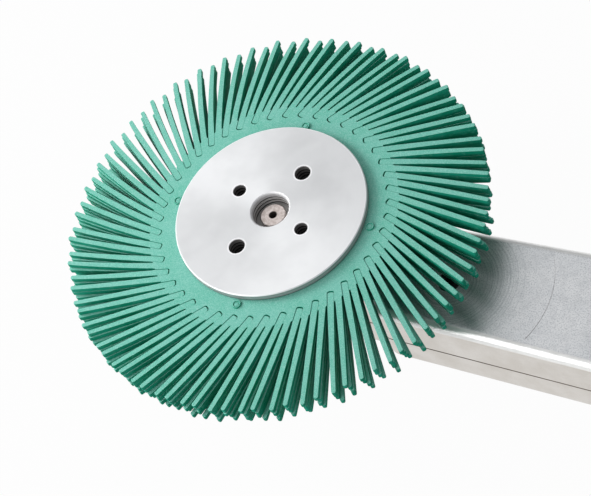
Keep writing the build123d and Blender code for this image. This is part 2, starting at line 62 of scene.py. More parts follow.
# ------------------------------------------------------------------ sizes taken from the frame
disc_boxes = {name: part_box(name) for name in frame["nodes"] if name.startswith("bristle_disc_")}
disc_count = len(disc_boxes)
flange_low, flange_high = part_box("front_flange")
spindle_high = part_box("spindle")[1]
arm_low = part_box("arm_upper_shell")[0]
screw_low, screw_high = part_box("idler_screw")
brush_radius = disc_boxes["bristle_disc_1"][1].y
flange_radius = flange_high.x
flange_top = flange_high.z
stack_top = disc_boxes["bristle_disc_1"][1].z - PIP_HEIGHT
idler_place = (screw_low + screw_high) / 2
split_height = arm_low.z

# ------------------------------------------------------------------ sizes that only the looks need
finger_count = 45
pitch = tau / finger_count
finger_offset = 27.0 * MM
slot_bottom_radius = 53.0 * MM
web_radius = 58.6 * MM
slot_width = 3.2 * MM
slot_corner = 1.1 * MM
slot_end_gap = 0.6 * MM
root_width = 2.9 * MM
root_round = 0.9 * MM
tip_width = 1.95 * MM
tip_round = 0.75 * MM
tip_thinning = 0.10 * MM
body_steps = 14
tip_steps = 4
bore_steps = 3
disc_thickness = 1.35 * MM
finger_thickness = 2.5 * MM
bore_radius = 28.1 * MM
pip_circle = 47.9 * MM
pip_angle = radians(4.3)
front_pip_stretch = 1.8
# Round this side of the brush the fingers are swept aside the most.
sweep_turn = radians(140.0)
# The front flange: where its pin holes are, its hub and the hole in the hub round the spindle.
large_pin_angle = radians(71.4)
small_pin_angle = radians(161.4)
hub_radius = 28.0 * MM
spindle_fit_radius = 6.05 * MM
# Its threaded counterbore, measured from the front face down.
counterbore_radius = 8.7 * MM
counterbore_depth = 8.0 * MM
mouth_radius = 9.5 * MM
mouth_depth = 0.8 * MM
thread_turns = 3
thread_start = 2.7 * MM
thread_pitch = 2.1 * MM
thread_width = 0.9 * MM
thread_depth = 0.45 * MM
# Its rim: two fine grooves, a chamfer in front and an undercut where it sits on the discs.
rim_groove_drops = (2.4 * MM, 1.2 * MM)
rim_groove_size = 0.25 * MM
rim_chamfer = 0.45 * MM
undercut_depth = 0.55 * MM
undercut_height = 0.4 * MM


# ------------------------------------------------------------------ node graphs
class Wire:
    """One socket of a node graph. Arithmetic on it adds Math nodes."""

    def __init__(self, graph, socket):
        self.graph = graph
        self.socket = socket

    def math(self, operation, *others):
        inputs = dict(enumerate((self,) + others))
        return self.graph.node("ShaderNodeMath", {"operation": operation}, inputs)

    def __add__(self, other):
        return self.math("ADD", other)

    def __sub__(self, other):
        return self.math("SUBTRACT", other)

    def __mul__(self, other):
        return self.math("MULTIPLY", other)

    def __truediv__(self, other):
        return self.math("DIVIDE", other)

    def __radd__(self, other):
        return self.math("ADD", other)

    def __rsub__(self, other):
        return self.graph.number(other).math("SUBTRACT", self)

    def ramp(self, low, high):
        """0 at low, 1 at high, eased between; low may be above high."""
        if low < high:
            levels = {0: self, 1: low, 2: high, 3: 0.0, 4: 1.0}
        else:
            levels = {0: self, 1: high, 2: low, 3: 1.0, 4: 0.0}
        return self.graph.node("ShaderNodeMapRange", {"interpolation_type": "SMOOTHSTEP"}, levels)


def distance(x, y):
    """How far out a spot is, from its offsets along two axes."""
    return (x * x + y * y).math("SQRT")


def strongest(marks):
    """The highest of several wires, spot by spot."""
    highest = marks[0]
    for mark in marks[1:]:
        highest = highest.math("MAXIMUM", mark)
    return highest


class Graph:
    """A material's or a Geometry Nodes group's tree, written as expressions."""

    def __init__(self, tree):
        self.tree = tree

    def node(self, kind, settings=None, inputs=None, output=0):
        """Add a node: its settings first, then the values or links of its sockets."""
        made = self.tree.nodes.new(kind)
        for key, value in (settings or {}).items():
            setattr(made, key, value)
        for key, value in (inputs or {}).items():
            socket = made.inputs[key]
            if isinstance(value, Wire):
                self.tree.links.new(value.socket, socket)
            else:
                socket.default_value = value
        if not made.outputs:
            return made
        return Wire(self, made.outputs[output])

    def number(self, value):
        wire = self.node("ShaderNodeValue")
        wire.socket.default_value = value
        return wire


class Paint(Graph):
    """A material with its Principled shader."""

    def __init__(self, name):
        self.material = bpy.data.materials.new(name)
        self.material.use_nodes = True
        super().__init__(self.material.node_tree)
        self.tree.nodes.clear()
        self.place = self.node("ShaderNodeTexCoord", output="Object")
        self.facing = self.node("ShaderNodeTexCoord", output="Normal")

    def split(self, vector):
        parts = self.node("ShaderNodeSeparateXYZ", inputs={0: vector})
        return [Wire(self, socket) for socket in parts.socket.node.outputs]

    def stretched(self, *scale):
        """Object coordinates, each axis scaled."""
        return self.node("ShaderNodeVectorMath", {"operation": "MULTIPLY"}, {0: self.place, 1: scale})

    def noise(self, scale, detail, roughness=0.55, vector=None):
        inputs = {"Vector": vector or self.place, "Scale": scale, "Detail": detail, "Roughness": roughness}
        return self.node("ShaderNodeTexNoise", inputs=inputs)

    def rings(self, reach, spacing, detail=2.0):
        """Noise that changes with one distance only, so it shows as rings."""
        inputs = {"W": reach / spacing, "Scale": 1.0, "Detail": detail}
        return self.node("ShaderNodeTexNoise", {"noise_dimensions": "1D"}, inputs)

    def mix(self, factor, first, second):
        """Colour from first to second as factor goes from 0 to 1."""
        settings = {"data_type": "RGBA"}
        return self.node("ShaderNodeMix", settings, {0: factor, 6: first, 7: second}, output=2)

    def bump(self, height, depth, strength):
        inputs = {"Height": height, "Distance": depth, "Strength": strength}
        return self.node("ShaderNodeBump", inputs=inputs)

    def finish(self, **values):
        """Set the Principled shader's sockets, named with underscores, and close the material."""
        inputs = {key.replace("_", " "): value for key, value in values.items()}
        shader = self.node("ShaderNodeBsdfPrincipled", inputs=inputs)
        self.node("ShaderNodeOutputMaterial", inputs={"Surface": shader})
        return self.material


def colour(red, green, blue):
    """A colour given as it looks on screen, 0 to 255, for a shader's socket."""
    linear = []
    for level in (red, green, blue):
        share = level / 255
        linear.append(((share + 0.055) / 1.055) ** 2.4 if level > 10 else share / 12.92)
    return (*linear, 1.0)


# ------------------------------------------------------------------ materials
def bristle_plastic():
    """Abrasive-filled green nylon: pale and dusty on the faces, and a deeper green down the sides that is
    painted shade.
    """
    paint = Paint("bristle_plastic")
    up = paint.split(paint.facing)[2]
    face = up.ramp(0.35, 0.95)
    grain = paint.noise(2200.0, 3.0, 0.6)
    cloud = paint.noise(90.0, 2.0)
    streak = paint.noise(420.0, 3.0, 0.6)
    pale = paint.mix(cloud.ramp(0.3, 0.7), colour(98, 187, 165), colour(112, 192, 174))
    dusty = paint.mix(grain.ramp(0.35, 0.75), pale, colour(150, 210, 196))
    # Painted shade: the sides and undersides take a much deeper green than the faces.
    shaded_side = paint.mix(cloud.ramp(0.3, 0.75), colour(10, 142, 112), colour(34, 164, 136))
    shaded_side = paint.mix(streak.ramp(0.5, 0.75) * 0.6, shaded_side, colour(84, 176, 152))
    base = paint.mix(face, shaded_side, dusty)
    relief = paint.bump(grain, 0.06 * MM, 0.6)
    rough = 0.62 + face * 0.05 + grain * 0.08
    return paint.finish(Base_Color=base, Roughness=rough, Normal=relief, Specular_IOR_Level=0.12)


def flange_shade_and_glints(paint, base, x, y, z):
    """The front flange's painted light: painted shade in its holes, grooves and down its rim, painted
    highlights on its edges, and a painted contact shadow at its seat.

    Returns the colour and how metallic each spot is.
    """
    radius = distance(x, y)
    below = flange_top - z
    # Painted highlights: near-white, less metallic rings on the rim chamfer and round the pin-hole edges.
    edge_glints = [(radius - flange_radius + 0.35 * MM).math("ABSOLUTE").ramp(0.45 * MM, 0.2 * MM)]
    # Painted shade: the holes and the rim grooves turn a duller, darker grey.
    hollow_shades = []
    holes = [(hole, flange_top - 0.3 * MM) for hole in pin_holes]
    holes.append(((0.0, 0.0, counterbore_radius + 0.2 * MM), flange_top - 2.5 * MM))
    for (hole_x, hole_y, hole_radius), hole_top in holes:
        away = distance(x - hole_x, y - hole_y)
        inside = away.ramp(hole_radius + 0.5 * MM, hole_radius + 0.2 * MM)
        hollow_shades.append(inside * z.ramp(hole_top, hole_top - 0.4 * MM))
        edge_glints.append((away - hole_radius - 0.3 * MM).math("ABSOLUTE").ramp(0.55 * MM, 0.25 * MM))
    for drop in rim_groove_drops:
        level = (z - (flange_top - drop)).math("ABSOLUTE").ramp(0.2 * MM, 0.12 * MM)
        sunk = (radius - (flange_radius - rim_groove_size)).math("ABSOLUTE").ramp(0.3 * MM, 0.2 * MM)
        hollow_shades.append(level * sunk * 0.8)
    hollow_shade = strongest(hollow_shades)
    edge_glint = strongest(edge_glints)

    # The painted shade's grey: darker in the pin holes and grooves than in the counterbore, with painted
    # shade along the thread roots.
    in_centre = radius.ramp(10.5 * MM, 9.6 * MM)
    wall_tone = paint.mix(in_centre, colour(118, 116, 115), colour(196, 194, 192))
    turn = ((flange_top - thread_start - z) / thread_pitch).math("FRACT")
    thread_shade = turn.ramp(0.45, 0.35) * below.ramp(thread_start - 0.2 * MM, thread_start + 0.05 * MM)
    wall_tone = paint.mix(thread_shade, wall_tone, colour(34, 33, 33))

    # Painted shade down the rim side, and a dark green painted contact shadow low on the rim where it sits
    # on the discs.
    on_rim = radius.ramp(flange_radius - 0.12 * MM, flange_radius - 0.04 * MM)
    rim_shade = on_rim * z.ramp(flange_top, flange_top - 0.6 * MM)
    seat_shadow = z.ramp(stack_top + 0.75 * MM, stack_top + 0.55 * MM) * radius.ramp(30.0 * MM, 31.0 * MM)
    land = radius.ramp(9.3 * MM, 9.0 * MM) * z.ramp(flange_top, flange_top - 0.4 * MM)
    base = paint.mix(rim_shade * 0.8, base, colour(104, 108, 108))
    base = paint.mix(edge_glint * 0.9, base, colour(250, 250, 251))
    base = paint.mix(hollow_shade, base, wall_tone)
    base = paint.mix(seat_shadow, base, colour(16, 48, 38))
    base = paint.mix(land * (1.0 - hollow_shade), base, colour(214, 214, 215))
    shine = (1.0 - land * 0.8) * (1.0 - hollow_shade * 0.8) * (1.0 - edge_glint * 0.7) * (1.0 - rim_shade * 0.5)
    return base, shine


def turned_aluminium(name, light, dark, rough, anisotropy=0.0, marks=None):
    """Faced in a lathe, with fine rings round the spindle axis; marks adds a piece's painted shade and
    painted highlights.
    """
    paint = Paint(name)
    x, y, z = paint.split(paint.place)
    rings = paint.rings(distance(x, y) + z, 0.22 * MM)
    smudge = paint.noise(45.0, 3.0)
    hair = paint.noise(2600.0, 2.0, 0.7)
    base = paint.mix(smudge.ramp(0.35, 0.7), light, dark)
    base = paint.mix(rings.ramp(0.55, 0.8) * 0.3, base, dark)
    relief = paint.bump(rings + hair * 0.4, 0.006 * MM, 0.6)
    roughness = rough + rings * 0.06 + smudge * 0.05
    shine = 1.0
    if marks:
        base, shine = marks(paint, base, x, y, z)
    return paint.finish(
        Base_Color=base, Metallic=shine, Roughness=roughness, Normal=relief, Anisotropic=anisotropy
    )


def arm_aluminium():
    """Brushed along the arm, worn round the idler screw, with smoother rounded edges painted near-white as a
    painted highlight.
    """
    paint = Paint("arm_aluminium")
    x, y, z = paint.split(paint.place)
    up = paint.split(paint.facing)[2]
    strokes = paint.noise(1.0, 3.0, 0.6, paint.stretched(60.0, 2600.0, 2600.0))
    wear = paint.noise(70.0, 4.0, 0.6)
    blotch = paint.noise(260.0, 4.0, 0.65)
    speck = paint.noise(1500.0, 3.0, 0.7)
    reach = distance(x - idler_place.x, y - idler_place.y)
    rubbed = paint.rings(reach, 0.8 * MM, 3.0)
    rub_zone = reach.ramp(62.0 * MM, 20.0 * MM)
    top = up.ramp(0.965, 0.995)
    wall = up.ramp(0.35, 0.15)
    cool = paint.mix(wear.ramp(0.3, 0.7), colour(224, 226, 228), colour(234, 235, 236))
    cool = paint.mix(speck.ramp(0.45, 0.65) * 0.7, cool, colour(176, 180, 184))
    cool = paint.mix(blotch.ramp(0.45, 0.7) * 0.35, cool, colour(190, 193, 196))
    warm = paint.mix(wear.ramp(0.3, 0.7), colour(204, 199, 192), colour(216, 212, 207))
    warm = paint.mix(speck.ramp(0.5, 0.7) * 0.25, warm, colour(186, 181, 174))
    # Painted highlight: the rounded edges are near-white and less metallic.
    edge = paint.mix(blotch.ramp(0.35, 0.7), colour(244, 244, 242), colour(252, 252, 251))
    base = paint.mix(top, paint.mix(wall, edge, warm), cool)
    marks = rubbed * rub_zone * top
    base = paint.mix(marks.ramp(0.4, 0.65) * 0.45, base, colour(166, 171, 176))
    seam = (z - split_height).math("ABSOLUTE").ramp(0.55 * MM, 0.3 * MM) * (1.0 - top)
    base = paint.mix(seam, base, colour(92, 78, 62))
    relief = paint.bump(strokes + marks + blotch * 0.3 + speck * 0.5, 0.008 * MM, 0.5)
    rough = 0.34 + strokes * 0.1 + marks * 0.08 - (1.0 - top) * 0.06 + seam * 0.4
    shine = (1.0 - seam * 0.8) * (1.0 - (1.0 - top) * (1.0 - wall) * 0.4)
    return paint.finish(Base_Color=base, Metallic=shine, Roughness=rough, Normal=relief)


def steel(name, light, dark, rough, metallic=1.0):
    """Plain machined steel or a dark oxide finish, with a little mottling."""
    paint = Paint(name)
    blot = paint.noise(700.0, 3.0)
    base = paint.mix(blot.ramp(0.35, 0.7), light, dark)
    relief = paint.bump(blot, 0.01 * MM, 0.4)
    return paint.finish(Base_Color=base, Metallic=metallic, Roughness=rough + blot * 0.1, Normal=relief)


def tarnished_steel():
    """Spindle end: faced, browned with use, with painted shade down in the centre hole."""
    paint = Paint("spindle_steel")
    x, y, z = paint.split(paint.place)
    radius = distance(x, y)
    blot = paint.noise(700.0, 3.0)
    rings = paint.rings(radius, 0.3 * MM)
    base = paint.mix(blot.ramp(0.35, 0.7), colour(226, 216, 212), colour(198, 186, 180))
    base = paint.mix(rings.ramp(0.5, 0.75) * 0.3, base, colour(168, 154, 146))
    # Painted shade: dark brown and less metallic down in the centre hole.
    front_end = z.ramp(spindle_high.z - 9.0 * MM, spindle_high.z - 8.0 * MM)
    bore_shade = radius.ramp(2.15 * MM, 1.75 * MM) * front_end
    base = paint.mix(bore_shade, base, colour(38, 26, 20))
    relief = paint.bump(blot + rings * 0.6, 0.01 * MM, 0.5)
    rough = 0.38 + blot * 0.1
    return paint.finish(Base_Color=base, Metallic=1.0 - bore_shade * 0.8, Roughness=rough, Normal=relief)


def rubber():
    """Dull black rubber."""
    paint = Paint("black_rubber")
    blot = paint.noise(1500.0, 2.0)
    base = paint.mix(blot, colour(24, 24, 25), colour(38, 38, 38))
    return paint.finish(Base_Color=base, Roughness=0.7 + blot * 0.1, Normal=paint.bump(blot, 0.02 * MM, 0.4))


def find_pin_holes():
    """The four pin holes of the front flange, each as (x, y, radius)."""
    holes = []
    for mount in frame["record"]["mounts"]:
        if mount["name"].startswith("flange_pin_holes"):
            circle = mount["dims"]["pcd_mm"] / 2 * MM
            radius = mount["dims"]["hole_r_mm"] * MM
            angle = large_pin_angle if mount["name"].endswith("large") else small_pin_angle
            for turn in (angle, angle + pi):
                holes.append((circle * cos(turn), circle * sin(turn), radius))
    return holes


pin_holes = find_pin_holes()
materials = {
    "bristle_plastic": bristle_plastic(),
    "flange_aluminium": turned_aluminium(
        "flange_aluminium",
        colour(234, 235, 236),
        colour(224, 225, 226),
        rough=0.4,
        anisotropy=0.3,
        marks=flange_shade_and_glints,
    ),
    "pulley_aluminium": turned_aluminium(
        "pulley_aluminium", colour(214, 214, 218), colour(200, 200, 205), rough=0.35
    ),
    "arm_aluminium": arm_aluminium(),
    "spindle_steel": tarnished_steel(),
    "bearing_steel": steel("bearing_steel", colour(214, 214, 218), colour(196, 196, 200), rough=0.2),
    "black_steel": steel("black_steel", colour(44, 44, 46), colour(28, 28, 29), rough=0.42, metallic=0.6),
    "black_rubber": rubber(),
}
slot_of = {part["node"]: part["material_slot"] for part in frame["record"]["subparts"]}
for name, node in frame["nodes"].items():
    node.data.materials.clear()
    node.data.materials.append(materials[slot_of[name]])


# ------------------------------------------------------------------ making pieces
def in_scene(name, data):
    """A new object, linked to the scene."""
    made = bpy.data.objects.new(name, data)
    bpy.context.scene.collection.objects.link(made)
    return made


def piece(name, mesh, body, slot, *stands_for):
    """Put a finished mesh in the scene, on its body, in its finish, in place of its CAD nodes."""
    made = in_scene(name, mesh)
    mesh.materials.clear()
    mesh.materials.append(materials[slot])
    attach(made, body)
    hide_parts(*stands_for)


def to_mesh(name, form):
    """Close a bmesh into a mesh, smooth except across its sharper edges."""
    bmesh.ops.remove_doubles(form, verts=form.verts, dist=WELD)
    bmesh.ops.recalc_face_normals(form, faces=form.faces)
    mesh = bpy.data.meshes.new(name)
    form.to_mesh(mesh)
    form.free()
    mesh.shade_smooth()
    mesh.set_sharp_from_angle(angle=EDGE_ANGLE)
    return mesh


def soften(thing, edge_round):
    """Add modifiers that round an object's sharp edges and even out its shading."""
    rounding = thing.modifiers.new("round", "BEVEL")
    rounding.width = edge_round
    rounding.segments = 2
    rounding.limit_method = "ANGLE"
    rounding.angle_limit = ROUND_ANGLE
    thing.modifiers.new("even", "WEIGHTED_NORMAL")


def worked(thing):
    """The mesh that an object's modifiers make; the object itself is removed."""
    graph = bpy.context.evaluated_depsgraph_get()
    mesh = bpy.data.meshes.new_from_object(thing.evaluated_get(graph))
    bpy.data.objects.remove(thing)
    return mesh


def circle_points(radius, height, count, centre):
    """Points round a level circle."""
    points = []
    for i in range(count):
        turn = tau * i / count
        points.append((centre[0] + radius * cos(turn), centre[1] + radius * sin(turn), height))
    return points


def band(form, lower, upper):
    """Join two rings of the same number of points with faces."""
    count = len(lower)
    for i in range(count):
        j = (i + 1) % count
        form.faces.new((lower[i], lower[j], upper[j], upper[i]))


def lathe(form, profile, count, centre=(0.0, 0.0), closed=True):
    """Turn a profile of (radius, height) points; a radius of 0 closes onto the axis."""
    rings = []
    for radius, height in profile:
        if radius == 0:
            rings.append(form.verts.new((centre[0], centre[1], height)))
        else:
            rings.append([form.verts.new(p) for p in circle_points(radius, height, count, centre)])
    pairs = list(zip(rings, rings[1:]))
    if closed:
        pairs.append((rings[-1], rings[0]))
    for low, high in pairs:
        if isinstance(low, list) and isinstance(high, list):
            band(form, low, high)
        elif isinstance(low, list):
            for i in range(count):
                form.faces.new((low[i], low[(i + 1) % count], high))
        elif isinstance(high, list):
            for i in range(count):
                form.faces.new((low, high[(i + 1) % count], high[i]))


# ------------------------------------------------------------------ bristle discs
def turned(point, angle):
    """A point of the plan turned about the spindle axis."""
    x, y = point
    return Vector((x * cos(angle) - y * sin(angle), x * sin(angle) + y * cos(angle)))


def at_radius(radius, offset):
    """The point at an offset from the centre line, at a distance from the spindle axis."""
    return Vector((sqrt(radius**2 - offset**2), offset))


def rounded_half(start, half, corner, steps=5):
    """Half the outline of a slot or a finger's foot: round the corner, then along the side."""
    points = []
    for step in range(steps + 1):
        swing = pi / 2 * step / steps
        points.append((start + corner * (1 - cos(swing)), half - corner * (1 - sin(swing))))
    return points


def finger_cell(name, side):
    """One finger with its share of the web, along +X, ready to be repeated round the axis.

    The web lies between height 0 and its thickness, up for side 1 and down for side -1; the finger
    is thicker, and the rest of it stands out of the web on that side.
    """
    foot = at_radius(slot_bottom_radius, finger_offset).x
    root = at_radius(web_radius, finger_offset).x
    tip = at_radius(brush_radius, finger_offset).x
    length = tip - root
    half_slot = slot_width / 2
    slot_side = [(foot, 0.0)] + rounded_half(foot, half_slot, slot_corner)
    right_side = [turned((x, finger_offset + y), -pitch / 2) for x, y in slot_side]
    left_side = [turned((x, finger_offset - y), pitch / 2) for x, y in slot_side]
    right_side.append(turned(at_radius(web_radius, finger_offset + half_slot), -pitch / 2))
    left_side.append(turned(at_radius(web_radius, finger_offset - half_slot), pitch / 2))

    sections = []
    for step in range(1, body_steps + 1):
        reach = (length - tip_round) * step / body_steps
        sections.append((reach, (root_width + (tip_width - root_width) * reach / length) / 2))
    last_half = sections[-1][1]
    for step in range(1, tip_steps + 1):
        # The rounding stops short of the full quarter turn, which leaves a small flat at the end.
        swing = pi / 2 * step / (tip_steps * 1.1)
        reach = length - tip_round * (1 - sin(swing))
        sections.append((reach, last_half - tip_round * (1 - cos(swing))))

    form = bmesh.new()
    reach_layer = form.verts.layers.float.new("reach")

    def column(point, *levels, reach=0.0):
        """The corners above each other at a point of the outline, thinned a little towards the tip."""
        thin = tip_thinning * (reach / length) ** 2
        made = []
        for level in levels:
            height = side * (level - thin if level > 0 else level + thin)
            vertex = form.verts.new((point[0], point[1], height))
            vertex[reach_layer] = reach / length
            made.append(vertex)
        return made

    web = (0.0, disc_thickness)
    right = [column(point, *web) for point in right_side]
    left = [column(point, *web) for point in left_side]
    cell_angle = pi / 2 - acos(finger_offset / slot_bottom_radius)
    inner = []
    for step in range(bore_steps + 1):
        angle = cell_angle - pitch / 2 + pitch * step / bore_steps
        inner.append(column((bore_radius * cos(angle), bore_radius * sin(angle)), *web))
    half_root = root_width / 2
    rim = [
        column(at_radius(web_radius, finger_offset + y), 0.0, disc_thickness, finger_thickness)
        for y in (-half_root, half_root)
    ]
    rib_side = rounded_half(foot + slot_end_gap, half_root, root_round)
    rib_outline = [(x, finger_offset - y) for x, y in reversed(rib_side)]
    rib_outline += [(x, finger_offset + y) for x, y in rib_side]
    rib_columns = [column(point, disc_thickness, finger_thickness) for point in rib_outline]
    rib = [rim[0][1:]] + rib_columns + [rim[1][1:]]

    def long_edge(way):
        """The corners along one side of the finger, from its root to its tip."""
        return [
            column((root + reach, finger_offset + way * half), 0.0, finger_thickness, reach=reach)
            for reach, half in sections
        ]

    right_edge = long_edge(-1)
    left_edge = long_edge(1)

    outline = inner[::-1] + right + [rim[0], rim[1]] + left[::-1]
    form.faces.new([corner[0] for corner in outline])
    web_edge = [corner[1] for corner in inner[::-1] + right]
    web_edge += [corner[0] for corner in rib]
    web_edge += [corner[1] for corner in left[::-1]]
    form.faces.new(web_edge)
    form.faces.new([corner[1] for corner in rib])
    for first, second in zip(rib, rib[1:]):
        form.faces.new((first[0], first[1], second[1], second[0]))
    for chain in (right + [rim[0]], [rim[1]] + left[::-1], inner[::-1]):
        for first, second in zip(chain, chain[1:]):
            form.faces.new((first[0], first[1], second[1], second[0]))
    for start, edge in ((rim[0], right_edge), (rim[1], left_edge)):
        form.faces.new((start[0], start[1], start[2], edge[0][1], edge[0][0]))
        for first, second in zip(edge, edge[1:]):
            form.faces.new((first[0], first[1], second[1], second[0]))
    right_rows = [[rim[0][0], rim[0][2]]] + right_edge
    left_rows = [[rim[1][0], rim[1][2]]] + left_edge
    rows = list(zip(right_rows, left_rows))
    for (right_near, left_near), (right_far, left_far) in zip(rows, rows[1:]):
        for level in (0, 1):
            form.faces.new((right_near[level], right_far[level], left_far[level], left_near[level]))
    right_last, left_last = rows[-1]
    form.faces.new((right_last[0], right_last[1], left_last[1], left_last[0]))
    bmesh.ops.recalc_face_normals(form, faces=form.faces)
    mesh = bpy.data.meshes.new(name)
    form.to_mesh(mesh)
    form.free()
    return bpy.data.objects.new(name, mesh)


def bristle_tree():
    """Geometry Nodes group that repeats the cell round the axis and bends each finger a little.

    At a fingertip, Bend and Droop are the most it strays sideways and up or down, and Ragged is the
    most it falls short. Sweep, Sag and Wear are the same for every finger: pushed aside (most round
    one side of the brush), hanging down and worn shorter. Lag is the angle a disc's fingers lean by.
    """
    tree = bpy.data.node_groups.new("bristle_disc", "GeometryNodeTree")
    wanted = {
        "Cell": "NodeSocketObject",
        "Fingers": "NodeSocketInt",
        "First Angle": "NodeSocketFloat",
        "Height": "NodeSocketFloat",
        "Bend": "NodeSocketFloat",
        "Droop": "NodeSocketFloat",
        "Ragged": "NodeSocketFloat",
        "Lag": "NodeSocketFloat",
        "Sweep": "NodeSocketFloat",
        "Sag": "NodeSocketFloat",
        "Wear": "NodeSocketFloat",
        "Seed": "NodeSocketInt",
        "Finish": "NodeSocketMaterial",
    }
    for label, kind in wanted.items():
        tree.interface.new_socket(label, in_out="INPUT", socket_type=kind)
    tree.interface.new_socket("Geometry", in_out="OUTPUT", socket_type="NodeSocketGeometry")
    graph = Graph(tree)
    entry = tree.nodes.new("NodeGroupInput")
    given = {label: Wire(graph, entry.outputs[label]) for label in wanted}

    source = {"Object": given["Cell"]}
    cell = graph.node("GeometryNodeObjectInfo", {"transform_space": "ORIGINAL"}, source, "Geometry")
    points = graph.node("GeometryNodePoints", inputs={"Count": given["Fingers"]})
    index = graph.node("GeometryNodeInputIndex")
    angle = given["First Angle"] + index * pitch
    spin = graph.node("ShaderNodeCombineXYZ", inputs={"Z": angle})
    copies = {"Points": points, "Instance": cell, "Rotation": spin}
    ring = graph.node("GeometryNodeInstanceOnPoints", inputs=copies)
    for label, value in (("finger", index), ("turn", angle)):
        store = {"data_type": "FLOAT", "domain": "INSTANCE"}
        kept = {"Geometry": ring, "Name": label, "Value": value}
        ring = graph.node("GeometryNodeStoreNamedAttribute", store, kept)
    solid = graph.node("GeometryNodeRealizeInstances", inputs={"Geometry": ring})

    def attribute(label):
        return graph.node("GeometryNodeInputNamedAttribute", {"data_type": "FLOAT"}, {"Name": label})

    finger = attribute("finger")
    turn = attribute("turn")
    reach = attribute("reach")

    def chance(salt):
        """A number from -1 to 1 for each finger."""
        seed = given["Seed"] + salt
        node = graph.node("FunctionNodeRandomValue", {"data_type": "FLOAT"}).socket.node
        entries = {socket.name: socket for socket in node.inputs if socket.enabled}
        entries["Min"].default_value = -1.0
        entries["Max"].default_value = 1.0
        tree.links.new(finger.socket, entries["ID"])
        tree.links.new(seed.socket, entries["Seed"])
        return Wire(graph, [socket for socket in node.outputs if socket.enabled][0])

    length = at_radius(brush_radius, finger_offset).x - at_radius(web_radius, finger_offset).x
    curl = reach * reach
    swept = (turn - sweep_turn).math("COSINE") * 0.5 + 0.5
    sideways = (chance(1) * given["Bend"] - given["Sweep"] * swept) * curl + given["Lag"] * reach * length
    upward = chance(2) * given["Droop"] * curl - given["Sag"] * reach.math("POWER", 1.2)
    outward = (chance(3) - 1.0) * 0.5 * given["Ragged"] * reach - given["Wear"] * reach
    offset = graph.node("ShaderNodeCombineXYZ", inputs={"X": outward, "Y": sideways, "Z": upward})
    spun = {"Vector": offset, "Angle": turn}
    offset = graph.node("ShaderNodeVectorRotate", {"rotation_type": "Z_AXIS"}, spun)
    bent = graph.node("GeometryNodeSetPosition", inputs={"Geometry": solid, "Offset": offset})
    joined = graph.node("GeometryNodeMergeByDistance", inputs={"Geometry": bent, "Distance": WELD})
    lift = graph.node("ShaderNodeCombineXYZ", inputs={"Z": given["Height"]})
    placed = graph.node("GeometryNodeTransform", inputs={"Geometry": joined, "Translation": lift})
    done = graph.node("GeometryNodeSetMaterial", inputs={"Geometry": placed, "Material": given["Finish"]})
    leave = tree.nodes.new("NodeGroupOutput")
    tree.links.new(done.socket, leave.inputs[0])
    return tree


def grown(name, tree, values, edge_round):
    """Run a Geometry Nodes group and round its edges; return the result as a plain mesh."""
    seed = in_scene(name, bpy.data.meshes.new(name))
    modifier = seed.modifiers.new("grow", "NODES")
    modifier.node_group = tree
    for item in tree.interface.items_tree:
        if item.in_out == "INPUT":
            modifier[item.identifier] = values[item.name]
    soften(seed, edge_round)
    return worked(seed)


def pips(form, height, stretch):
    """Four stacking pips on the web: a raised rim round a low dome, taller by the stretch."""
    # Radii and heights in millimetres.
    dome = [(0.0, 0.40), (0.7, 0.40), (1.15, 0.25)]
    raised_rim = [(1.35, 0.25), (1.55, 0.47), (1.8, 0.5), (1.95, 0.4), (2.0, -0.02)]
    profile = [(r * MM, height + h * stretch * MM) for r, h in reversed(dome + raised_rim)]
    for i in range(4):
        angle = pip_angle + i * pi / 2
        centre = (pip_circle * cos(angle), pip_circle * sin(angle))
        lathe(form, profile, count=28, centre=centre, closed=False)


def bristle_discs():
    """The eight discs; each next one down is turned by half a pitch, and its fingers lean back more."""
    cells = [finger_cell("finger_down", -1), finger_cell("finger_up", 1)]
    tree = bristle_tree()
    root_turn = acos(finger_offset / slot_bottom_radius) - pi / 2
    for i in range(disc_count):
        name = "bristle_disc_" + str(i + 1)
        rising = i % 2 == 1
        web_top = stack_top - i * disc_thickness
        values = {
            "Cell": cells[i % 2],
            "Fingers": finger_count,
            "First Angle": root_turn + (i % 2) * pitch / 2,
            "Height": web_top - disc_thickness if rising else web_top,
            "Bend": 0.55 * MM + 0.06 * MM * i,
            "Droop": 0.25 * MM,
            "Ragged": 0.9 * MM + 0.12 * MM * i,
            "Lag": radians(0.35) * i,
            "Sweep": 2.0 * MM,
            "Sag": 1.5 * MM if rising else 0.0,
            "Wear": 0.08 * MM * i,
            "Seed": 11 + 7 * i,
            "Finish": materials["bristle_plastic"],
        }
        mesh = grown(name, tree, values, edge_round=0.22 * MM)
        form = bmesh.new()
        form.from_mesh(mesh)
        pips(form, web_top, 1.0 if i else front_pip_stretch)
        form.to_mesh(mesh)
        form.free()
        piece(name + "_moulding", mesh, "brush_head", "bristle_plastic", name)


bristle_discs()


# ------------------------------------------------------------------ flange and spindle
def dressed(mesh, edge_round):
    """Round the sharp edges of a mesh and smooth its shading; returns a new mesh."""
    carrier = in_scene("carrier", mesh)
    soften(carrier, edge_round)
    return worked(carrier)


def drilled(mesh, holes, low, high):
    """Cut round holes, given as (x, y, radius), down through a mesh; returns a new mesh."""
    form = bmesh.new()
    for x, y, radius in holes:
        drill = [(0.0, low), (radius, low), (radius, high), (0.0, high)]
        lathe(form, drill, count=48, centre=(x, y), closed=False)
    drills = in_scene("drills", to_mesh("drills", form))
    blank = in_scene("blank", mesh)
    cut = blank.modifiers.new("cut", "BOOLEAN")
    cut.operation = "DIFFERENCE"
    cut.solver = "EXACT"
    cut.object = drills
    result = worked(blank)
    bpy.data.objects.remove(drills)
    return result


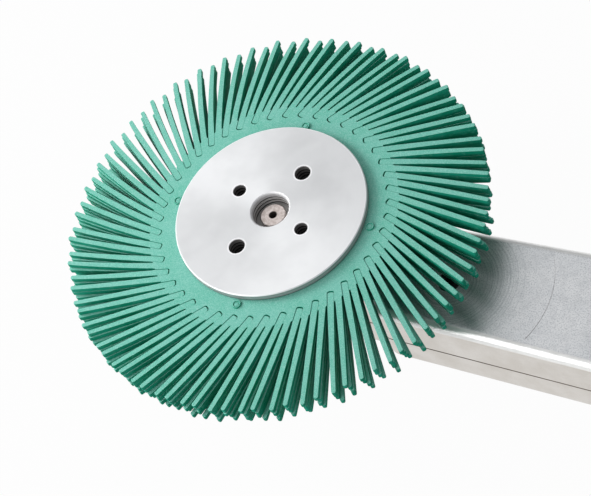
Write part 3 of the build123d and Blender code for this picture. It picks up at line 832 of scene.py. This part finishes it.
def flange_profile():
    """Half section of the front flange, from its back round the rim to the counterbore."""
    back = flange_low.z
    seat = stack_top
    rim = flange_radius
    waist = rim - undercut_depth
    points = [(spindle_fit_radius, back), (hub_radius, back), (hub_radius, seat), (waist, seat)]
    points += [(waist, seat + undercut_height), (rim, seat + undercut_height)]
    for drop in rim_groove_drops:
        low = flange_top - drop - rim_groove_size / 2
        high = flange_top - drop + rim_groove_size / 2
        bottom = rim - rim_groove_size
        points += [(rim, low), (bottom, low), (bottom, high), (rim, high)]
    points += [(rim, flange_top - rim_chamfer), (rim - rim_chamfer, flange_top)]
    points += [(mouth_radius, flange_top), (counterbore_radius, flange_top - mouth_depth)]
    for turn in range(thread_turns):
        height = flange_top - thread_start - turn * thread_pitch
        points.append((counterbore_radius, height))
        points.append((counterbore_radius + thread_depth, height - thread_width / 2))
        points.append((counterbore_radius, height - thread_width))
    floor = flange_top - counterbore_depth
    return points + [(counterbore_radius, floor), (spindle_fit_radius, floor)]


def front_flange():
    """Turned plate and hub with four pin holes, and the threaded counterbore round the spindle."""
    form = bmesh.new()
    lathe(form, flange_profile(), count=192)
    blank = to_mesh("front_flange_blank", form)
    with_holes = drilled(blank, pin_holes, flange_low.z - MM, flange_top + MM)
    mesh = dressed(with_holes, edge_round=0.22 * MM)
    piece("front_flange_turned", mesh, "brush_head", "flange_aluminium", "front_flange")


def spindle():
    """The spindle with its machined edges rounded."""
    form = bmesh.new()
    form.from_mesh(frame["nodes"]["spindle"].data)
    bmesh.ops.remove_doubles(form, verts=form.verts, dist=WELD)
    bmesh.ops.dissolve_limit(form, angle_limit=radians(2), verts=form.verts, edges=form.edges)
    mesh = dressed(to_mesh("spindle_blank", form), edge_round=0.2 * MM)
    piece("spindle_turned", mesh, "brush_head", "spindle_steel", "spindle")


front_flange()
spindle()


# ------------------------------------------------------------------ floor, light and camera
FLOOR_DROP = 0.4 * MM
FLOOR_GREY = (0.45, 0.45, 0.45, 1.0)
FLOOR_GLOW = 0.97
ROOM_TINT = (0.97, 0.98, 1.0, 1.0)
ROOM_STRENGTH = 0.37
BRUSH_CENTRE = (0.02, 0.0, 0.05)


def floor_and_backdrop():
    """A pale floor that shows white and keeps a soft shadow."""
    form = bmesh.new()
    size = 6.0
    corners = [(-size, -size), (size, -size), (size, size), (-size, size)]
    form.faces.new([form.verts.new((x, y, -FLOOR_DROP)) for x, y in corners])
    mesh = bpy.data.meshes.new("floor")
    form.to_mesh(mesh)
    form.free()
    floor = in_scene("floor", mesh)
    material = bpy.data.materials.new("floor")
    material.use_nodes = True
    graph = Graph(material.node_tree)
    graph.tree.nodes.clear()
    path = graph.node("ShaderNodeLightPath", output="Is Camera Ray")
    glossy = Wire(graph, path.socket.node.outputs["Is Glossy Ray"])
    through = Wire(graph, path.socket.node.outputs["Is Transmission Ray"])
    seen = path.math("MAXIMUM", glossy).math("MAXIMUM", through)
    paper = graph.node("ShaderNodeBsdfDiffuse", inputs={"Color": FLOOR_GREY})
    glow = graph.node("ShaderNodeEmission", inputs={"Color": WHITE, "Strength": 1.0})
    mixed = graph.node("ShaderNodeMixShader", inputs={0: seen * FLOOR_GLOW, 1: paper, 2: glow})
    graph.node("ShaderNodeOutputMaterial", inputs={"Surface": mixed})
    mesh.materials.append(material)


def surroundings():
    """An even pale room, white to the camera."""
    world = bpy.data.worlds.new("room")
    bpy.context.scene.world = world
    world.use_nodes = True
    graph = Graph(world.node_tree)
    graph.tree.nodes.clear()
    path = graph.node("ShaderNodeLightPath", output="Is Camera Ray")
    room = graph.node("ShaderNodeBackground", inputs={"Color": ROOM_TINT, "Strength": ROOM_STRENGTH})
    white = graph.node("ShaderNodeBackground", inputs={"Color": WHITE, "Strength": 1.0})
    mixed = graph.node("ShaderNodeMixShader", inputs={0: path, 1: room, 2: white})
    graph.node("ShaderNodeOutputWorld", inputs={"Surface": mixed})


def aimed(place, target):
    """The rotation that turns a lamp or camera at a place towards a target."""
    return (Vector(target) - Vector(place)).to_track_quat("-Z", "Y")


def softbox(name, place, target, size, watts):
    """A square area lamp turned to a target."""
    lamp = bpy.data.lights.new(name, "AREA")
    lamp.size = size
    lamp.energy = watts
    made = in_scene(name, lamp)
    made.location = place
    made.rotation_mode = "QUATERNION"
    made.rotation_quaternion = aimed(place, target)


def camera(place, target, roll, lens):
    """Camera aimed at a target and rolled about its own axis."""
    view = bpy.data.cameras.new("camera")
    view.lens = lens
    view.sensor_width = 36.0
    view.clip_start = 0.01
    view.clip_end = 50.0
    made = in_scene("camera", view)
    made.location = place
    made.rotation_mode = "QUATERNION"
    made.rotation_quaternion = aimed(place, target) @ Quaternion((0.0, 0.0, 1.0), roll)
    bpy.context.scene.camera = made


floor_and_backdrop()
surroundings()
softbox("key", (-0.74, -0.08, 0.50), BRUSH_CENTRE, size=0.4, watts=5.4)
softbox("overhead", (-0.45, 0.42, 0.95), BRUSH_CENTRE, size=0.9, watts=1.5)
softbox("near", (-0.34, -0.72, 0.52), (0.08, 0.0, 0.03), size=0.7, watts=3.8)
camera(
    place=(0.41052, -0.37044, 0.77157),
    target=(0.02026, -0.01620, 0.068),
    roll=radians(-29.13),
    lens=121.73,
)
bpy.context.scene.view_settings.view_transform = "Standard"
